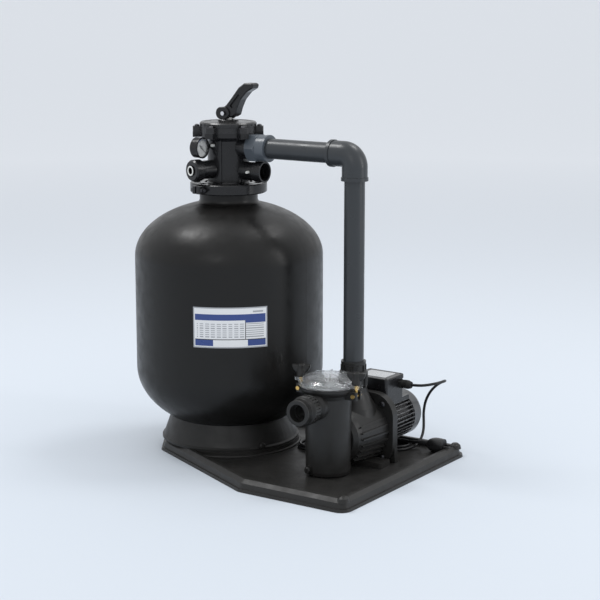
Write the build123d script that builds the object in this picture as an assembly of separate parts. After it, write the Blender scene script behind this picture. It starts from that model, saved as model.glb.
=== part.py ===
from build123d import *
import math
import os

# Sand filter tank with a multiport valve, a self-priming pump and their pipework on one base plate.
# Everything is laid out in millimetres from the tank's axis at floor level: +X runs from the tank to
# the pump, +Y runs back along the pump's motor, +Z is up. At the end every piece is moved so that the
# origin is at the bottom centre of the whole set.

os.makedirs("parts", exist_ok=True)

# ---- Driving dimensions ----
TANK_R = 237.5
TANK_WALL = 7.0
SIDE_BOTTOM_Z = 215.0
SIDE_TOP_Z = 497.0
TOP_DOME = 140.0
BOTTOM_DOME = 165.0
NECK_R = 73.0
NECK_BORE_R = 60.0
NECK_JOINT_Z = 668.5
SKIRT_FOOT_Z = 27.0
HUB_Z = 105.0
LATERAL_R = 9.0
LATERAL_TIP = 145.0
STANDPIPE_TOP_Z = 688.0
CLAMP_TURN = -100.0

BASE_FRONT_Y = -321.0
BASE_BACK_Y = 250.0
BASE_RIGHT_X = 556.0
BASE_CORNERS = ((BASE_RIGHT_X, BASE_FRONT_Y), (259, BASE_FRONT_Y), (-112, -147), (-192, -30),
                (-192, 44), (-118, 168), (150, BASE_BACK_Y), (BASE_RIGHT_X, BASE_BACK_Y))
BASE_CORNER_R = 28.0
BASE_FLOOR_Z = 14.0
BEAD_Z = 28.0
BEAD_INSET = 24.0
FLOOR_INSET = 32.0

PIPE_R = 25.0
PIPE_BORE_R = 21.3
GLUE_GAP = 0.1
PORT_Z = 771.0
LOW_PORT_Z = 712.0
LOW_PORT_R = 26.0
VALVE_R = 52.0
VALVE_TOP_Z = 834.0
PIN_Z = 853.0
LEVER_TRAVEL_DEG = 35.0
DIVERTER_LIFT = 6.0
LUG_TURN = 34.0
LUG_R = 78.0
WASTE_TURN = math.radians(-108)
WASTE_DIRECTION = (math.cos(WASTE_TURN), math.sin(WASTE_TURN), 0)
WASTE_PORT_Z = 716.0
WASTE_MOUTH_R = 88.0
PORT_HOLES = 6
SEAT_Z = 798.0
STEM_R = 9.0
DIVERTER_Z = SEAT_Z + 2.3
CAM_OFFSET = DIVERTER_LIFT / math.radians(LEVER_TRAVEL_DEG)
CAM_R = PIN_Z - (VALVE_TOP_Z + 3.3) - 0.4

GAUGE_X = -16.0
GAUGE_Y = -85.0
GAUGE_Z = 772.0
GAUGE_STEM_X = GAUGE_X - 12.0

ADAPTOR_X = 71.0
ELBOW_SOCKET = 66.0
ELBOW_LOW_Z = PORT_Z - 62.0
TAIL_LOW_Z = 233.8
UNION_THREAD_R = 28.0

PUMP_X = 374.0
SHAFT_Z = 94.0
SHAFT_R = 7.0
POT_Y = -111.0
POT_R = 55.0
POT_TOP_Z = 232.0
SUCTION_Z = 190.0
SUCTION_MOUTH_Y = -243.0
FLANGE_Y = 36.0
MOTOR_R = 60.0
MOTOR_FRONT_Y = 58.0
MOTOR_BACK_Y = 205.0
COVER_BACK_Y = 238.0
STUD_X = 78.0
FLANGE_SCREW_X = 62.0
FLANGE_SCREW_Z = 67.0
T_BARREL_Z = 216.0
STUD_R = 4.0
SUCTION_BORE_R = 21.5
DRAIN_TURN = -27.0
BEARING_R = 16.0
BEARING_W = 10.0
FRONT_BEARING_Y = MOTOR_FRONT_Y + 4
BACK_BEARING_Y = MOTOR_BACK_Y - 14
BOX_X = (PUMP_X - 50, PUMP_X + 50)
BOX_Y = (74.0, 156.0)
BOX_Z = (150.2, 203.0)

CORD_D = 7.0
GLAND_Y = 139.0
GLAND_Z = 190.5
GLAND_END_X = PUMP_X + 83.0
CORD_ROUTE = ((GLAND_END_X - 8, GLAND_Y, GLAND_Z), (474, 139.5, 191.5), (497, 142, 195), (516, 158, 199),
              (523, 183, 200), (515, 208, 196), (495, 225, 187), (472, 236, 172), (450, 245, 151), (434, 250, 124),
              (428, 251, 94), (431, 248, 68), (436, 239, 52), (441, 225, 40), (443, 208, 28), (442, 190, 20),
              (437, 173, 17.8))
TAIL_ROUTE = ((372, 190, 24), (391, 192.5, 25.5), (412, 191, 27.5), (432, 188, 30), (450, 187, 31.5))
HANK_LEFT = (222.0, 52.0)
HANK_RIGHT = (399.0, 172.0)
HANK_END_R = 38.0
HANK_BOW = 20.0
HANK_BOW_CENTRE = -20.0
HANK_BOW_REACH = 120.0
HANK_HEIGHT = 13.4
PLUG_START = (450.0, 187.0, 31.5)
PLUG_TURN_DEG = 5.0

TANK_MIN_X = -TANK_R
ORIGIN_X = (TANK_MIN_X + BASE_RIGHT_X) / 2
ORIGIN_Y = (BASE_FRONT_Y + BASE_BACK_Y) / 2
TO_ORIGIN = Pos(-ORIGIN_X, -ORIGIN_Y, 0)

TO_RIGHT = (1, 0, 0)
TO_FRONT = (0, -1, 0)
TO_BACK = (0, 1, 0)
UP = (0, 0, 1)

GAUGE_AXIS = Plane(origin=(GAUGE_X, GAUGE_Y, GAUGE_Z), x_dir=TO_BACK, z_dir=TO_RIGHT).location
PUMP_AXIS = Plane(origin=(PUMP_X, 0, SHAFT_Z), x_dir=TO_RIGHT, z_dir=TO_BACK).location


# ---- Helpers ----
def lathe(*outline):
    """Solid turned about Z from its half outline, (radius, height) points."""
    return revolve(Plane.XZ * make_face(Polyline(*outline, close=True)), Axis.Z)


def tube(outer, inner, low, high):
    return lathe((inner, low), (outer, low), (outer, high), (inner, high))


def rod(radius, low, high):
    return Pos(0, 0, (low + high) / 2) * Cylinder(radius, high - low)


def block(x_range, y_range, z_range):
    size = [high - low for low, high in (x_range, y_range, z_range)]
    middle = [(high + low) / 2 for low, high in (x_range, y_range, z_range)]
    return Pos(*middle) * Box(*size)


def aim(direction, start, x_dir=None):
    """Placement that turns local Z to a direction from a start point."""
    return Plane(origin=start, x_dir=x_dir, z_dir=direction).location


def around(shape, count, first=0.0):
    """Copies of a shape, evenly spaced about Z, as one group."""
    return Part() + [Rot(0, 0, first + 360 * i / count) * shape for i in range(count)]


def hexagon(across_flats, low, high):
    sketch = RegularPolygon(across_flats / 2, 6, major_radius=False)
    return Pos(0, 0, low) * extrude(sketch, high - low)


def screw(head_r, head_h, shank_r, shank_h):
    """Screw that points down -Z with its head standing on z = 0."""
    head = lathe((0, 0), (head_r, 0), (head_r, head_h * 0.55), (head_r * 0.6, head_h), (0, head_h))
    cross = Box(head_r * 1.1, head_r * 0.25, head_h) + Box(head_r * 0.25, head_r * 1.1, head_h)
    return head - Pos(0, 0, head_h * 1.15) * cross + rod(shank_r, -shank_h, 0)


# ---- Base plate ----
def base_plan(inset):
    """Plan of the base plate, drawn in from its edge by an inset."""
    outline = offset(make_face(Polyline(*BASE_CORNERS, close=True)), -inset)
    return fillet(outline.vertices(), BASE_CORNER_R - inset * 0.6)


def slab(low_inset, low_z, high_inset, high_z):
    return loft([Pos(0, 0, low_z) * base_plan(low_inset), Pos(0, 0, high_z) * base_plan(high_inset)])


def volute_saddle():
    outline = ((0, -70), (68, -70), (81, FLANGE_Y + 4), (0, FLANGE_Y + 4))
    return PUMP_AXIS * lathe(*outline)


def base_plate():
    wall = 4.0
    lip_h = 7.0
    plinth_r = 177.0
    step_r = 182.0
    step_z = 19.0
    pedestal = block((PUMP_X - 92, PUMP_X + 92), (-20, 27), (BASE_FLOOR_Z - 1, BEAD_Z))
    pedestal = fillet(pedestal.edges().filter_by(Axis.Z), 6) - volute_saddle()
    outside = slab(0, 0, 1.5, lip_h) + slab(6, lip_h, 9, 20) + slab(9, 20, BEAD_INSET - 5, BEAD_Z)
    hollow = slab(wall, 0, wall + 1.5, lip_h - wall) + slab(10, lip_h - wall, 16, BASE_FLOOR_Z - wall)
    hollow += rod(plinth_r - 12, lip_h - wall, SKIRT_FOOT_Z - wall)
    tray = slab(FLOOR_INSET, BASE_FLOOR_Z, BEAD_INSET + 3, BEAD_Z + 1)
    step = rod(step_r, BASE_FLOOR_Z - wall, step_z)
    step = fillet(step.edges().group_by(Axis.Z)[-1], 3)
    plate = outside - (tray - step - rod(plinth_r, BASE_FLOOR_Z - wall, SKIRT_FOOT_Z))
    plate -= rod(plinth_r, SKIRT_FOOT_Z, BEAD_Z + 1)
    rib_lines = [block((x - 2, x + 2), (-400, 400), (0, 24)) for x in (-60, 60, 180, 300, 420)]
    rib_lines += [block((-400, 700), (y - 2, y + 2), (0, 24)) for y in (-220, -100, 0, 120)]
    ribs = Part() + rib_lines
    plate = plate - (hollow - ribs)
    lump = lathe((0, 0), (15, 0), (13, 9), (7, 14), (0, 15))
    corner_lumps = [Pos(BASE_RIGHT_X - 20, y, BEAD_Z - 8) * lump for y in (BASE_FRONT_Y + 25, BASE_BACK_Y - 25)]
    return plate + pedestal + corner_lumps


def tank_skirt(tank_space):
    foot_r = 172.0
    top_z = 92.0
    outline = ((foot_r - 12, SKIRT_FOOT_Z), (foot_r + 3, SKIRT_FOOT_Z), (foot_r + 3, SKIRT_FOOT_Z + 5),
               (foot_r - 1, SKIRT_FOOT_Z + 9), (foot_r - 6, 48), (foot_r - 13, 68), (foot_r - 19, 84),
               (foot_r - 21, top_z), (foot_r - 28, top_z), (foot_r - 28, 78), (foot_r - 18, 62),
               (foot_r - 12, 44))
    return lathe(*outline) - tank_space


# ---- Tank ----
def tank_body(grow):
    """Closed solid of the tank's body without its neck, with the skin moved out by grow."""
    radius = TANK_R + grow
    top = SIDE_TOP_Z + TOP_DOME + grow
    bottom = SIDE_BOTTOM_Z - BOTTOM_DOME - grow
    edges = [EllipticalCenterArc((0, SIDE_TOP_Z), radius, TOP_DOME + grow, 0, arc_size=90),
             Line((0, top), (0, bottom)),
             EllipticalCenterArc((0, SIDE_BOTTOM_Z), radius, BOTTOM_DOME + grow, 270, arc_size=90),
             Line((radius, SIDE_BOTTOM_Z), (radius, SIDE_TOP_Z))]
    return revolve(Plane.XZ * make_face(edges), Axis.Z)


def tank_shell():
    flange_r = 86.0
    flange_z = 662.0
    outside = tank_body(0) + rod(NECK_R, 600, NECK_JOINT_Z)
    neck_root = outside.edges().filter_by_position(Axis.Z, 625, 640)
    outside = fillet(neck_root, 12)
    flange = lathe((0, flange_z - 3), (NECK_R, flange_z - 3), (flange_r, flange_z), (flange_r, NECK_JOINT_Z),
                   (0, NECK_JOINT_Z))
    groove = tube(70.8, 65.8, NECK_JOINT_Z - 4.6, NECK_JOINT_Z + 1)
    return outside + flange - tank_body(-TANK_WALL) - rod(NECK_BORE_R, 600, NECK_JOINT_Z + 1) - groove


def standpipe():
    return tube(PIPE_R, PIPE_BORE_R, HUB_Z + 16, STANDPIPE_TOP_Z)


def lateral_socket(reach):
    return aim(TO_RIGHT, (0, 0, HUB_Z)) * rod(LATERAL_R, 20, reach)


def lateral_hub():
    hub = lathe((0, HUB_Z - 15), (30, HUB_Z - 15), (34, HUB_Z - 10), (34, HUB_Z + 16), (30, HUB_Z + 40),
                (PIPE_R + GLUE_GAP, HUB_Z + 40), (PIPE_R + GLUE_GAP, HUB_Z + 16), (20, HUB_Z + 16),
                (20, HUB_Z - 11), (0, HUB_Z - 11))
    return hub - around(lateral_socket(40), 8, 22.5)


def laterals():
    shell = aim(TO_RIGHT, (0, 0, HUB_Z)) * (rod(LATERAL_R - 0.1, 24, LATERAL_TIP) - rod(7, 20, LATERAL_TIP - 3))
    slots = [block((x, x + 2), (-12, 12), (HUB_Z - 12, HUB_Z - 3)) for x in range(42, 138, 12)]
    return around(shell - slots, 8, 22.5)


def sand_bed():
    sand_top = 430.0
    space = tank_body(-TANK_WALL - 0.5) & rod(TANK_R, 0, sand_top)
    return space - rod(35, HUB_Z - 16, HUB_Z + 41) - rod(PIPE_R + 0.5, HUB_Z, sand_top) - around(
        lateral_socket(LATERAL_TIP + 1), 8, 22.5)


def top_diffuser():
    """Slotted basket that hangs under the valve and spreads the incoming water."""
    cup = tube(53.7, 51, 596, 650) + tube(53.7, PIPE_R + 1.5, 596, 599)
    slots = around(block((48, 58), (-2, 2), (604, 636)), 20)
    return cup - slots


def o_rings():
    """Neck, valve lid and pump union O-rings."""
    rings = [Pos(0, 0, NECK_JOINT_Z - 2.3) * Torus(68.3, 2.2),
             Pos(0, 0, 806) * Torus(61, 1.9),
             Pos(PUMP_X, 0, 231.9) * Torus(25.5, 1.8)]
    return Part() + rings


def clamp_ring():
    outline = ((76, 656.5), (94, 656.5), (96.5, 659), (96.5, 679.5), (94, 682), (VALVE_R + 8, 682),
               (VALVE_R + 8, 678.4), (86.4, 678.4), (86.4, 661.2), (76, 658.7))
    pockets = around(Pos(79, 0, 682) * Box(16, 26, 4), 12, 15)
    lug = block((92, 112), (-14, 14), (660, 679))
    lug = fillet(lug.edges().filter_by(Axis.Z), 4) - block((80, 87), (-20, 20), (650, 690))
    bolt_hole = aim(TO_BACK, (104, -20, 669.5)) * rod(3.6, 0, 40)
    gap = block((60, 120), (-2.5, 2.5), (650, 690))
    ring = lathe(*outline) - pockets
    for turn in (CLAMP_TURN, CLAMP_TURN + 180):
        ring = ring + Rot(0, 0, turn) * (lug - bolt_hole)
        ring = ring - Rot(0, 0, turn) * (gap + bolt_hole)
    return ring


def clamp_half(side):
    keep = Rot(0, 0, CLAMP_TURN) * Pos(0, side * 100, 670) * Box(300, 200, 100)
    return clamp_ring() & keep


def clamp_bolts():
    """Two hexagon bolts with nuts that draw the clamp halves together."""
    bolt = hexagon(11, -5, 0) + rod(3.4, 0, 40) + (hexagon(11, 28, 34) - rod(3.5, 20, 40))
    return Part() + [Rot(0, 0, turn) * aim(TO_BACK, (104, -14, 669.5)) * bolt
                     for turn in (CLAMP_TURN, CLAMP_TURN + 180)]


# ---- Multiport valve ----


def port_boss(direction, height, radius, reach):
    return aim(direction, (0, 0, height)) * rod(radius, 30, reach)


def valve_body():
    outside = lathe((0, 640), (NECK_BORE_R - 0.5, 640), (NECK_BORE_R - 0.5, NECK_JOINT_Z), (86, NECK_JOINT_Z),
                    (86, 674), (82, 678), (VALVE_R + 4, 678), (VALVE_R, 684), (VALVE_R, 786), (70, 796),
                    (70, 808), (0, 808))
    outside += around(Pos(LUG_R - 1, 0, 801) * Box(22, 22, 14), PORT_HOLES, LUG_TURN)
    outside += port_boss(TO_RIGHT, PORT_Z, 30, ADAPTOR_X)
    outside += port_boss(TO_RIGHT, LOW_PORT_Z, LOW_PORT_R - 3, 92)
    outside += port_boss(TO_RIGHT, LOW_PORT_Z, LOW_PORT_R, 112) - port_boss(TO_RIGHT, LOW_PORT_Z, 40, 88)
    outside += port_boss(WASTE_DIRECTION, WASTE_PORT_Z, LOW_PORT_R - 3, WASTE_MOUTH_R)
    rib = block((VALVE_R - 2, VALVE_R + 3), (-2, 2), (684, 790))
    ribs = [Rot(0, 0, turn) * rib for turn in (-74, -14, 60, 120, 180)]
    outside += ribs
    chamber = rod(47, 700, 793) + rod(57, SEAT_Z, 809)
    lower = tube(54, 31, 630, 672) + tube(46, 31, 670, 682)
    lower += rod(PIPE_R + GLUE_GAP, 630, STANDPIPE_TOP_Z) + rod(20, 680, 705)
    lower += around(Pos(38, 0, 690) * Cylinder(8, 30), 4, 45)
    seat_holes = around(Pos(30, 0, 795) * Cylinder(11, 20), PORT_HOLES, 30)
    bores = port_boss(TO_RIGHT, PORT_Z, 22, ADAPTOR_X + 1) + port_boss(TO_RIGHT, LOW_PORT_Z, 20, 113)
    bores += port_boss(WASTE_DIRECTION, WASTE_PORT_Z, 18, WASTE_MOUTH_R + 1)
    bores += port_boss(TO_RIGHT, LOW_PORT_Z, 22, 113) - port_boss(TO_RIGHT, LOW_PORT_Z, 30, 92)
    ring_groove = tube(63.2, 58.8, 803.9, 809)
    screw_holes = around(Pos(LUG_R, 0, 801) * Cylinder(3.2, 20), PORT_HOLES, LUG_TURN)
    gauge_hole = aim(TO_BACK, (GAUGE_STEM_X, -70, GAUGE_Z)) * rod(5.1, 0, 34)
    return outside - chamber - lower - seat_holes - bores - ring_groove - screw_holes - gauge_hole


def valve_lid():
    outside = lathe((0, 808), (70, 808), (70, 821), (71, 822), (71, 829), (68, 832), (62, 832),
                    (60, VALVE_TOP_Z - 3),
                    (28, VALVE_TOP_Z - 1), (26, VALVE_TOP_Z), (0, VALVE_TOP_Z))
    lug = fillet(Box(22, 24, 13).edges().filter_by(Axis.Z), 5)
    outside += around(Pos(LUG_R - 1, 0, 814.5) * lug, PORT_HOLES, LUG_TURN)
    inside = rod(56, 807, 818) + rod(36, 807, 829)
    stem_hole = rod(STEM_R + 0.05, 800, 840)
    screw_holes = around(Pos(LUG_R, 0, 815) * Cylinder(3.2, 30), PORT_HOLES, LUG_TURN)
    grips = around(Pos(71, 0, 826) * Box(2.4, 9, 5), 24)
    return outside - inside - stem_hole - screw_holes - grips


def lid_screws():
    return around(Pos(LUG_R, 0, 821) * screw(6, 4.5, 3, 26), PORT_HOLES, LUG_TURN)


def spider_gasket():
    seal = tube(55, 12, SEAT_Z, SEAT_Z + 2)
    return seal - around(Pos(30, 0, SEAT_Z) * Cylinder(11, 10), PORT_HOLES, 30)


def diverter():
    """Ported disc with its stem, crossed at the top by the handle pin's hole."""
    disc = rod(53, DIVERTER_Z, DIVERTER_Z + 6) + rod(14, DIVERTER_Z, DIVERTER_Z + 10)
    disc = disc - Rot(0, 0, 30) * Pos(30, 0, DIVERTER_Z) * Cylinder(11, 30)
    stem = rod(STEM_R, DIVERTER_Z, PIN_Z + 9)
    pin_hole = aim(TO_BACK, (0, -20, PIN_Z)) * rod(3.02, 0, 40)
    return disc + stem - pin_hole


def valve_spring():
    """Coil spring between the diverter and the lid."""
    low = DIVERTER_Z + 7.9
    high = 827.1
    coil_r = 22.0
    wire_r = 1.6
    path = Helix(pitch=(high - low) / 4, height=high - low, radius=coil_r, center=(0, 0, low))
    section = Plane(origin=path @ 0, z_dir=path % 0) * Circle(wire_r)
    return sweep(section, path=path, is_frenet=True)


def handle_washer():
    return lathe((STEM_R + 0.4, VALVE_TOP_Z + 0.3), (26, VALVE_TOP_Z + 0.3), (26, VALVE_TOP_Z + 2),
                 (25, VALVE_TOP_Z + 3), (STEM_R + 0.4, VALVE_TOP_Z + 3))


def handle_pin():
    return aim(TO_BACK, (0, -22.5, PIN_Z)) * (rod(3, 0, 45) + rod(5.2, -2.2, 0) + rod(5.2, 45, 47.2))


def valve_handle():
    """Lever with two cam cheeks that roll on the washer and lift the diverter when it is pressed down."""
    discs = Plane.XZ * Pos(0, PIN_Z) * Circle(CAM_R) + Plane.XZ * Pos(-CAM_OFFSET, PIN_Z) * Circle(CAM_R)
    hub = Pos(0, 19, 0) * extrude(discs, 38)
    hub = fillet(hub.edges().filter_by(GeomType.CIRCLE), 2.5)
    corners = ((-12, 862), (4, 874), (20, 892), (41, 917), (60, 929.5), (80, 929.5), (87, 926), (84, 917),
               (66, 907), (48, 888), (38, 868), (32, 850), (22, 844.5), (8, 842))
    side = make_face(Polyline(*corners, close=True))
    side = fillet(side.vertices().filter_by_position(Axis.X, 2, 90), 4)
    lever = Pos(0, 14, 0) * extrude(Plane.XZ * side, 28)
    lever = chamfer(lever.faces().filter_by(Axis.Y).edges(), 2.5)
    groove = make_face(Polyline((22, 866), (47, 897), (42, 902), (15, 872), close=True))
    grooves = Part() + [Pos(0, y + 4, 0) * extrude(Plane.XZ * groove, 8) for y in (-14, 14)]
    stem = Pos(0, 0, -6) * Box(2 * STEM_R + 3, 2 * STEM_R + 1.6, 42)
    swing = Part() + [Pos(0, 0, PIN_Z) * Rot(0, -turn, 0) * stem for turn in (0, 12, 24, 36)]
    pin_hole = aim(TO_BACK, (0, -30, PIN_Z)) * rod(3.05, 0, 60)
    return hub + lever - grooves - swing - pin_hole


def waste_plug():
    """Black threaded plug in the waste port, with a ring-shaped face."""
    plug = lathe((0, -12), (17.5, -12), (17.5, 0.5), (27, 0.5), (27, 20), (24, 24), (15, 24), (15, 21), (12.5, 21),
                 (12.5, 27), (8, 27), (8, 18), (0, 18))
    grips = around(Pos(27, 0, 10) * Box(3, 4, 15), 16)
    return aim(WASTE_DIRECTION, (0, 0, WASTE_PORT_Z)) * Pos(0, 0, WASTE_MOUTH_R) * (plug - grips)


def vent_screws():
    """Small air vents on the valve's side and on the return port."""
    vent = lathe((0, 0), (3.5, 0), (3.5, 7), (2.5, 9), (0, 9))
    side = math.radians(-97)
    out = (math.cos(side), math.sin(side), 0)
    at_side = aim(out, (VALVE_R * out[0], VALVE_R * out[1], PORT_Z + 5)) * vent
    at_port = aim(TO_FRONT, (78, -LOW_PORT_R + 3, LOW_PORT_Z)) * vent
    return Part() + [at_side, at_port]


# ---- Pressure gauge, its dial facing +X ----


def gauge_case():
    cup = lathe((0, -23), (22, -23), (25.2, -20), (25.2, -3), (26.2, -2), (26.2, 1.5), (23.2, 1.5), (23.2, -0.5),
                (22.7, -0.5), (22.7, -5), (0, -5))
    grips = around(Pos(25.4, 0, -12) * Box(1.2, 1.6, 14), 48)
    stem = aim(TO_BACK, (GAUGE_STEM_X, GAUGE_Y + 22, GAUGE_Z)) * (
        rod(5, 0, 24) + Rot(0, 0, 30) * hexagon(14, 1, 11))
    return GAUGE_AXIS * (cup - grips) + stem


def gauge_dial():
    return GAUGE_AXIS * (rod(22.4, -4.9, -4) + rod(1.2, -4, -2.2))


def gauge_needle():
    tip = math.radians(-45)
    needle = Polyline((-8, -1.6), (0, -1.9), (18, -0.4), (18, 0.4), (0, 1.9), (-8, 1.6), close=True)
    hub = tube(3, 1.25, -3.6, -2.4)
    blade = Pos(0, 0, -3.6) * Rot(0, 0, math.degrees(tip)) * extrude(make_face(needle), 0.7)
    return GAUGE_AXIS * (hub + blade - rod(1.25, -5, 0))


def gauge_lens():
    return GAUGE_AXIS * lathe((0, 0.2), (23.1, -0.4), (23.1, 1.0), (0, 1.6))


# ---- Pipework ----


def pipe_adaptor():
    nut_x = ADAPTOR_X + 0.2
    nut_end = 100.0
    spigot = tube(21.9, 18, ADAPTOR_X - 16, nut_x)
    nut = hexagon(64, nut_x, nut_end) - rod(20, nut_x - 1, nut_end + 1)
    rounded = ((0, nut_x), (33, nut_x), (37.5, nut_x + 4), (37.5, nut_end - 4), (34, nut_end), (0, nut_end))
    nut = nut & lathe(*rounded)
    socket = tube(32.5, PIPE_R + GLUE_GAP, nut_end, 124) + tube(33.5, PIPE_R + GLUE_GAP, 120, 127)
    return aim(TO_RIGHT, (0, 0, PORT_Z), x_dir=UP) * (spigot + Rot(0, 0, 30) * nut + socket)


def horizontal_pipe():
    return aim(TO_RIGHT, (0, 0, PORT_Z)) * tube(PIPE_R, PIPE_BORE_R, 100.2, PUMP_X - 30)


def elbow():
    """Solvent-weld elbow with a rim on each socket."""
    bend_r = 30.0
    outer_r = 31.0
    rim_r = 33.0
    path = FilletPolyline((PUMP_X - ELBOW_SOCKET, 0, PORT_Z), (PUMP_X, 0, PORT_Z), (PUMP_X, 0, ELBOW_LOW_Z),
                          radius=bend_r)
    start = Plane(origin=path @ 0, z_dir=path % 0)
    body = sweep(start * Circle(outer_r), path=path) - sweep(start * Circle(PIPE_BORE_R), path=path)
    rim = tube(rim_r, PIPE_R + GLUE_GAP, 0, 8)
    socket = rod(PIPE_R + GLUE_GAP, -1, ELBOW_SOCKET - 30)
    right_way = aim(TO_RIGHT, (PUMP_X - ELBOW_SOCKET, 0, PORT_Z))
    up_way = Pos(PUMP_X, 0, ELBOW_LOW_Z)
    return body + right_way * rim + up_way * rim - right_way * socket - up_way * rod(
        PIPE_R + GLUE_GAP, -1, PORT_Z - 30 - ELBOW_LOW_Z)


def vertical_pipe():
    return Pos(PUMP_X, 0, 0) * tube(PIPE_R, PIPE_BORE_R, TAIL_LOW_Z + 8, PORT_Z - 30)


def union_tail():
    """Socket end of the union, with a shoulder that the nut pulls down."""
    outline = ((20, TAIL_LOW_Z), (31.5, TAIL_LOW_Z), (31.5, 240), (29, 240), (29, 262), (30.5, 263), (30.5, 270),
               (PIPE_R + GLUE_GAP, 270), (PIPE_R + GLUE_GAP, TAIL_LOW_Z + 8), (20, TAIL_LOW_Z + 8))
    grips = around(Pos(30, 0, 254) * Box(3, 5, 14), 10)
    return Pos(PUMP_X, 0, 0) * (lathe(*outline) + (grips - rod(26, 240, 262)))


def union_nut():
    nut_r = 34.0
    thread_r = UNION_THREAD_R + 0.15
    outline = ((thread_r, 210), (nut_r - 1, 210), (nut_r, 212), (nut_r, 244), (nut_r - 2, 246), (29.3, 246),
               (29.3, 240.3), (31.8, 240.3), (31.8, 233.6), (thread_r, 233.6))
    lobes = around(Pos(nut_r, 0, 226) * Cylinder(5.5, 26), 6)
    return Pos(PUMP_X, 0, 0) * (lathe(*outline) + (lobes - rod(nut_r - 1.5, 200, 250)))


# ---- Pump housing: strainer pot, volute, discharge and suction necks in one moulding ----
def pump_axis_rod(radius, front, back):
    return PUMP_AXIS * rod(radius, front, back)


def flange_plate(front, back, lowest):
    """Rounded square plate on the pump's axis, cut off level above the floor."""
    side = 184.0
    sheet = extrude(RectangleRounded(side, side, 58), back - front)
    plate = PUMP_AXIS * Pos(0, 0, front) * sheet
    return plate & block((PUMP_X - 100, PUMP_X + 100), (front - 1, back + 1), (lowest, SHAFT_Z + side))


def at_flange_screws(shape):
    places = [(PUMP_X + x, FLANGE_Y, SHAFT_Z + z) for x in (-FLANGE_SCREW_X, FLANGE_SCREW_X)
              for z in (-FLANGE_SCREW_Z, FLANGE_SCREW_Z)]
    return Part() + [aim(TO_FRONT, place) * shape for place in places]


def pump_housing():
    pot = Pos(PUMP_X, POT_Y, 0) * lathe((0, 14.5), (47, 14.5), (52, 18), (54, 26), (POT_R + 1, 205), (60, 214),
                                        (68, 222), (70, 226), (70, POT_TOP_Z), (0, POT_TOP_Z))
    volute = PUMP_AXIS * lathe((0, -80), (52, -80), (62, -72), (66, -60), (71, -20), (77, 30), (78, FLANGE_Y),
                               (0, FLANGE_Y))
    hood = Pos(PUMP_X, 0, 0) * lathe((0, SHAFT_Z), (62, SHAFT_Z), (61, 130), (54, 158), (42, 180), (35, 194),
                                     (33, 206), (UNION_THREAD_R, 207), (UNION_THREAD_R, 231.8), (0, 231.8))
    hood = hood & block((PUMP_X - 80, PUMP_X + 80), (-80, FLANGE_Y), (SHAFT_Z, 240))
    angles = (26, 13, 0, -13, -26, -39, -52)
    rib = PUMP_AXIS * Pos(71, 0, -14) * Rot(0, 5.6, 0) * Box(11, 3.4, 100)
    to_axis = Pos(PUMP_X, 0, SHAFT_Z)
    turns = [-angle for angle in angles] + [180 + angle for angle in angles]
    ribs = Part() + [to_axis * Rot(0, turn, 0) * to_axis.inverse() * rib for turn in turns]
    ribs = ribs & block((200, 600), (-66, FLANGE_Y), (0, 200))
    neck = lathe((0, 20), (33, 20), (33, 62), (27, 70), (27, 112), (0, 112))
    suction = aim(TO_FRONT, (PUMP_X, POT_Y, SUCTION_Z)) * neck
    ears = Part() + [ear_fork(side) for side in (-1, 1)]
    drain_boss = aim(TO_FRONT, (PUMP_X - 22, POT_Y - 30, 30)) * rod(9.5, 0, 23.8)
    flange = flange_plate(FLANGE_Y, FLANGE_Y + 8, 18)
    outside = pot + volute + hood + ribs + suction + drain_boss + ears + flange
    pot_space = Pos(PUMP_X, POT_Y, 0) * (rod(50, 20, 240) + rod(56, 222, 240))
    water = pump_axis_rod(20, -80, -10) + pump_axis_rod(60, -12, FLANGE_Y + 10)
    water += Pos(PUMP_X, 0, 0) * rod(20.5, SHAFT_Z, 240)
    water += aim(TO_FRONT, (PUMP_X, POT_Y, SUCTION_Z)) * rod(19, 30, 120)
    ring_groove = Pos(PUMP_X, 0, 0) * tube(27.4, 23.6, 230.1, 235)
    lid_groove = Pos(PUMP_X, POT_Y, 0) * tube(65.2, 60.8, POT_TOP_Z - 2.6, 240)
    screw_holes = at_flange_screws(rod(3.2, -12, 5))
    drain_holes = aim(TO_FRONT, (PUMP_X - 22, POT_Y - 40, 30)) * rod(5, -12, 20)
    return outside - pot_space - water - ring_groove - lid_groove - screw_holes - drain_holes


def ear_fork(side):
    """Forked lug on the pot that carries the barrel of a T-bolt."""
    lug = block((STUD_X - 26, STUD_X + 8), (-14, 14), (206, 226))
    lug = fillet(lug.edges().filter_by(Axis.Z), 4) - rod(66, 200, 240)
    lug += block((50, STUD_X - 10), (-14, 14), (206, 226))
    slot = block((STUD_X - 6, STUD_X + 12), (-6, 6), (200, 230))
    barrel_hole = aim(TO_FRONT, (STUD_X, 20, T_BARREL_Z)) * rod(5.1, 0, 40)
    return Pos(PUMP_X, POT_Y, 0) * Rot(0, 0, 0 if side > 0 else 180) * (lug - slot - barrel_hole)


def t_bolts():
    """Two brass T-bolts: an upright stud on a cross barrel that rests in the pot's forks."""
    bolt = aim(TO_FRONT, (0, 17, T_BARREL_Z)) * rod(5, 0, 34) + rod(STUD_R, T_BARREL_Z, 268)
    return Part() + [Pos(PUMP_X + side * STUD_X, POT_Y, 0) * bolt for side in (-1, 1)]


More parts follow.
